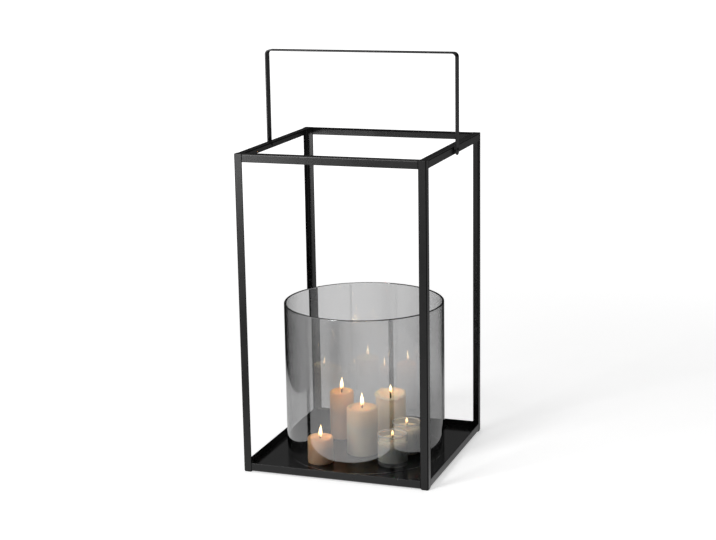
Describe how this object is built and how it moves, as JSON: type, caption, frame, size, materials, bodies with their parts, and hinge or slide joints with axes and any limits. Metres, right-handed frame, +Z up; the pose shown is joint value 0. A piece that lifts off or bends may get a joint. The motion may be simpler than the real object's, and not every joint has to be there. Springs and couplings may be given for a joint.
{
  "type": "hurricane lantern",
  "caption": "Open square steel-angle lantern with a strap handle, a smoked glass cylinder on its tray, and pillar and votive candles standing inside the glass.",
  "frame": {"origin": "on the ground, under the middle of the lantern", "axes": "+Z up, -Y the front, +X the right side; the handle swings about X"},
  "size_m": [0.376, 0.36, 0.77],
  "materials": {
    "frame_steel": "satin black powder coat",
    "tray_steel": "glossy black powder coat",
    "handle_steel": "satin black powder coat",
    "pivot_steel": "satin black paint",
    "glide_plastic": "matte black",
    "smoked_glass": "clear, tinted neutral grey, polished",
    "votive_glass": "clear, polished",
    "cream_wax": "soft, slightly translucent cream wax",
    "peach_wax": "soft, slightly translucent peach wax",
    "wick_cotton": "burnt cotton cord",
    "clip_tin": "plain tinned steel",
    "flame": "light of a candle flame, which only the visual model shows"
  },
  "bodies": {
    "frame": {"post_front_left": "frame_steel", "post_front_right": "frame_steel", "post_back_left": "frame_steel", "post_back_right": "frame_steel", "top_rail_front": "frame_steel", "top_rail_back": "frame_steel", "top_rail_left": "frame_steel", "top_rail_right": "frame_steel", "bottom_rail_front": "frame_steel", "bottom_rail_back": "frame_steel", "bottom_rail_left": "frame_steel", "bottom_rail_right": "frame_steel", "tray": "tray_steel", "corner_glides": "glide_plastic", "pivot_washer_left": "pivot_steel", "pivot_washer_right": "pivot_steel", "pivot_rivet_left": "pivot_steel", "pivot_rivet_right": "pivot_steel"},
    "handle": {"carrying_handle": "handle_steel"},
    "glass_cylinder": {"glass_cylinder": "smoked_glass"},
    "back_left_candle": {"back_left_candle_wax": "peach_wax", "back_left_candle_wick": "wick_cotton"},
    "centre_candle": {"centre_candle_wax": "cream_wax", "centre_candle_wick": "wick_cotton"},
    "back_right_candle": {"back_right_candle_wax": "cream_wax", "back_right_candle_wick": "wick_cotton"},
    "front_left_candle": {"front_left_candle_wax": "peach_wax", "front_left_candle_wick": "wick_cotton"},
    "front_votive": {"front_votive_cup": "votive_glass", "front_votive_wax": "cream_wax", "front_votive_wick": "wick_cotton", "front_votive_wick_clip": "clip_tin"},
    "back_votive": {"back_votive_cup": "votive_glass", "back_votive_wax": "cream_wax", "back_votive_wick": "wick_cotton", "back_votive_wick_clip": "clip_tin"}
  },
  "joints": [
    {"name": "handle_swing", "type": "hinge", "parent": "frame", "child": "handle", "pos_m": [0, 0, 0.5925], "axis": [1, 0, 0], "range_deg": [-84.5, 84.5]},
    {"name": "glass_lift", "type": "slide", "parent": "frame", "child": "glass_cylinder", "axis": [0, 0, 1], "range_m": [0, 0.46]},
    {"name": "back_left_candle_lift", "type": "slide", "parent": "frame", "child": "back_left_candle", "axis": [0, 0, 1], "range_m": [0, 0.6]},
    {"name": "centre_candle_lift", "type": "slide", "parent": "frame", "child": "centre_candle", "axis": [0, 0, 1], "range_m": [0, 0.6]},
    {"name": "back_right_candle_lift", "type": "slide", "parent": "frame", "child": "back_right_candle", "axis": [0, 0, 1], "range_m": [0, 0.6]},
    {"name": "front_left_candle_lift", "type": "slide", "parent": "frame", "child": "front_left_candle", "axis": [0, 0, 1], "range_m": [0, 0.6]},
    {"name": "front_votive_lift", "type": "slide", "parent": "frame", "child": "front_votive", "axis": [0, 0, 1], "range_m": [0, 0.6]},
    {"name": "back_votive_lift", "type": "slide", "parent": "frame", "child": "back_votive", "axis": [0, 0, 1], "range_m": [0, 0.6]}
  ]
}
